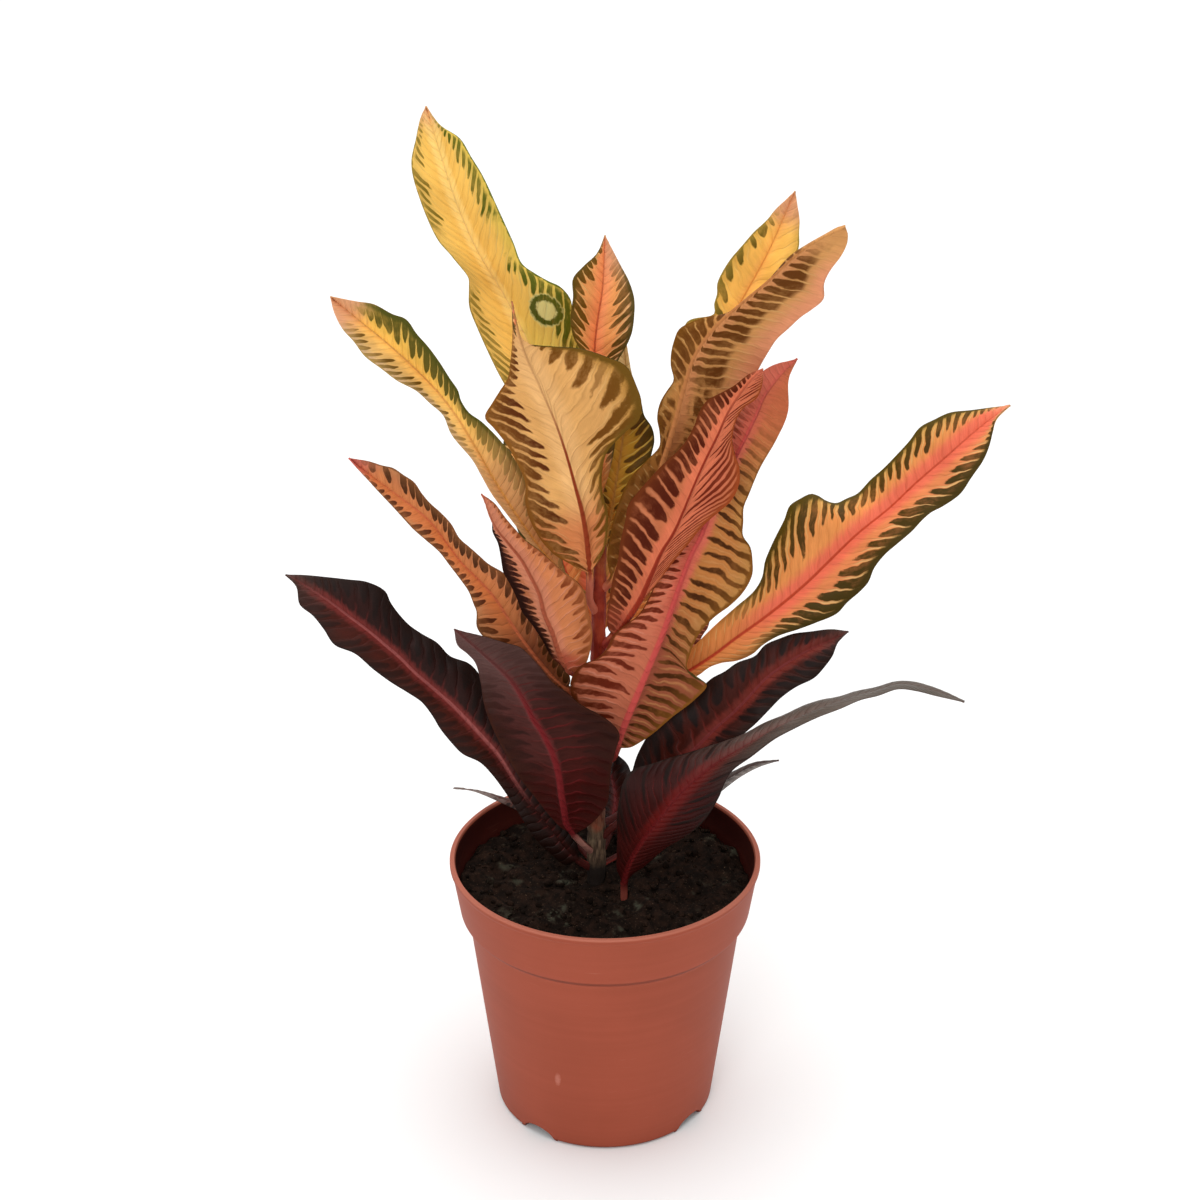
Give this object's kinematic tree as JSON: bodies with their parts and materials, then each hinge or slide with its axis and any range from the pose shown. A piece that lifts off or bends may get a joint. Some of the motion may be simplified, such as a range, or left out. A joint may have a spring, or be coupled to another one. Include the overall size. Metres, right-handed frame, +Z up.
{
  "type": "potted croton",
  "caption": "Croton houseplant in a round tapered nursery pot: a woody stem in soil with long wavy leaves, yellow and orange above and dark purple at the bottom.",
  "frame": {"origin": "centre of the pot's flat underside, on the pot's axis", "axes": "+Z up along the pot's axis; -Y towards the front, the side that the long leaves spread in front of; +X to the right as seen from the front"},
  "size_m": [0.2857, 0.1625, 0.4203],
  "materials": {
    "pot": "terracotta-coloured moulded plastic, satin",
    "soil": "dark moist potting soil with paler crumbs",
    "stem": "grey-brown bark with leaf scars, dark red near the top",
    "leaf_centre_front": "pale tan underside with brown-green feathered blotches and a red midrib, waxy",
    "leaf_right_pink": "salmon-pink underside with dark red-brown stripes, waxy",
    "leaf_front_red": "pink-red underside with brown stripes and a crimson midrib, waxy",
    "leaf_front_left_peach": "peach underside with brown stripes, one half dark purple, waxy",
    "leaf_right_tan": "tan-pink underside with brown stripes, waxy",
    "leaf_right_long": "yellow-orange with a red midrib and dark green blotches at the margins, waxy",
    "leaf_left_upper": "yellow with green blotches and a pink-orange midrib, waxy",
    "leaf_left_orange": "orange-pink with brown-green blotches, waxy",
    "leaf_top_left": "bright yellow with dark green blotches, waxy",
    "leaf_top_right": "yellow with dark green blotches, waxy",
    "leaf_centre_top": "orange-pink with dark green blotches, waxy",
    "leaf_centre_green": "olive green with dark green blotches, waxy",
    "leaf_dark_left": "near-black purple with a crimson midrib and fine red side veins, waxy",
    "leaf_dark_front_left": "near-black purple with a crimson midrib and fine red side veins, waxy",
    "leaf_dark_right": "near-black purple with a crimson midrib and fine red side veins, waxy",
    "leaf_dark_front_right": "near-black purple with a crimson midrib and fine red side veins, waxy",
    "leaf_low_right": "near-black purple with a crimson midrib and fine red side veins, waxy",
    "leaf_low_back_left": "near-black purple with a crimson midrib and fine red side veins, waxy",
    "leaf_back_1": "leaf at the back, coloured like its neighbours, waxy",
    "leaf_back_2": "leaf at the back, coloured like its neighbours, waxy",
    "leaf_back_3": "leaf at the back, coloured like its neighbours, waxy",
    "leaf_back_4": "leaf at the back, coloured like its neighbours, waxy",
    "leaf_back_5": "leaf at the back, coloured like its neighbours, waxy",
    "leaf_back_6": "leaf at the back, coloured like its neighbours, waxy",
    "leaf_back_7": "leaf at the back, coloured like its neighbours, waxy",
    "leaf_back_8": "leaf at the back, coloured like its neighbours, waxy",
    "leaf_back_9": "leaf at the back, coloured like its neighbours, waxy",
    "leaf_young": "yellow-green young leaf, waxy"
  },
  "bodies": {
    "root": {"pot": "pot", "soil": "soil", "stem": "stem", "leaf_centre_front": "leaf_centre_front", "leaf_right_pink": "leaf_right_pink", "leaf_front_red": "leaf_front_red", "leaf_front_left_peach": "leaf_front_left_peach", "leaf_right_tan": "leaf_right_tan", "leaf_right_long": "leaf_right_long", "leaf_left_upper": "leaf_left_upper", "leaf_left_orange": "leaf_left_orange", "leaf_top_left": "leaf_top_left", "leaf_top_right": "leaf_top_right", "leaf_centre_top": "leaf_centre_top", "leaf_centre_green": "leaf_centre_green", "leaf_dark_left": "leaf_dark_left", "leaf_dark_front_left": "leaf_dark_front_left", "leaf_dark_right": "leaf_dark_right", "leaf_dark_front_right": "leaf_dark_front_right", "leaf_low_right": "leaf_low_right", "leaf_low_back_left": "leaf_low_back_left", "leaf_back_1": "leaf_back_1", "leaf_back_2": "leaf_back_2", "leaf_back_3": "leaf_back_3", "leaf_back_4": "leaf_back_4", "leaf_back_5": "leaf_back_5", "leaf_back_6": "leaf_back_6", "leaf_back_7": "leaf_back_7", "leaf_back_8": "leaf_back_8", "leaf_back_9": "leaf_back_9", "leaf_young": "leaf_young"}
  },
  "joints": []
}
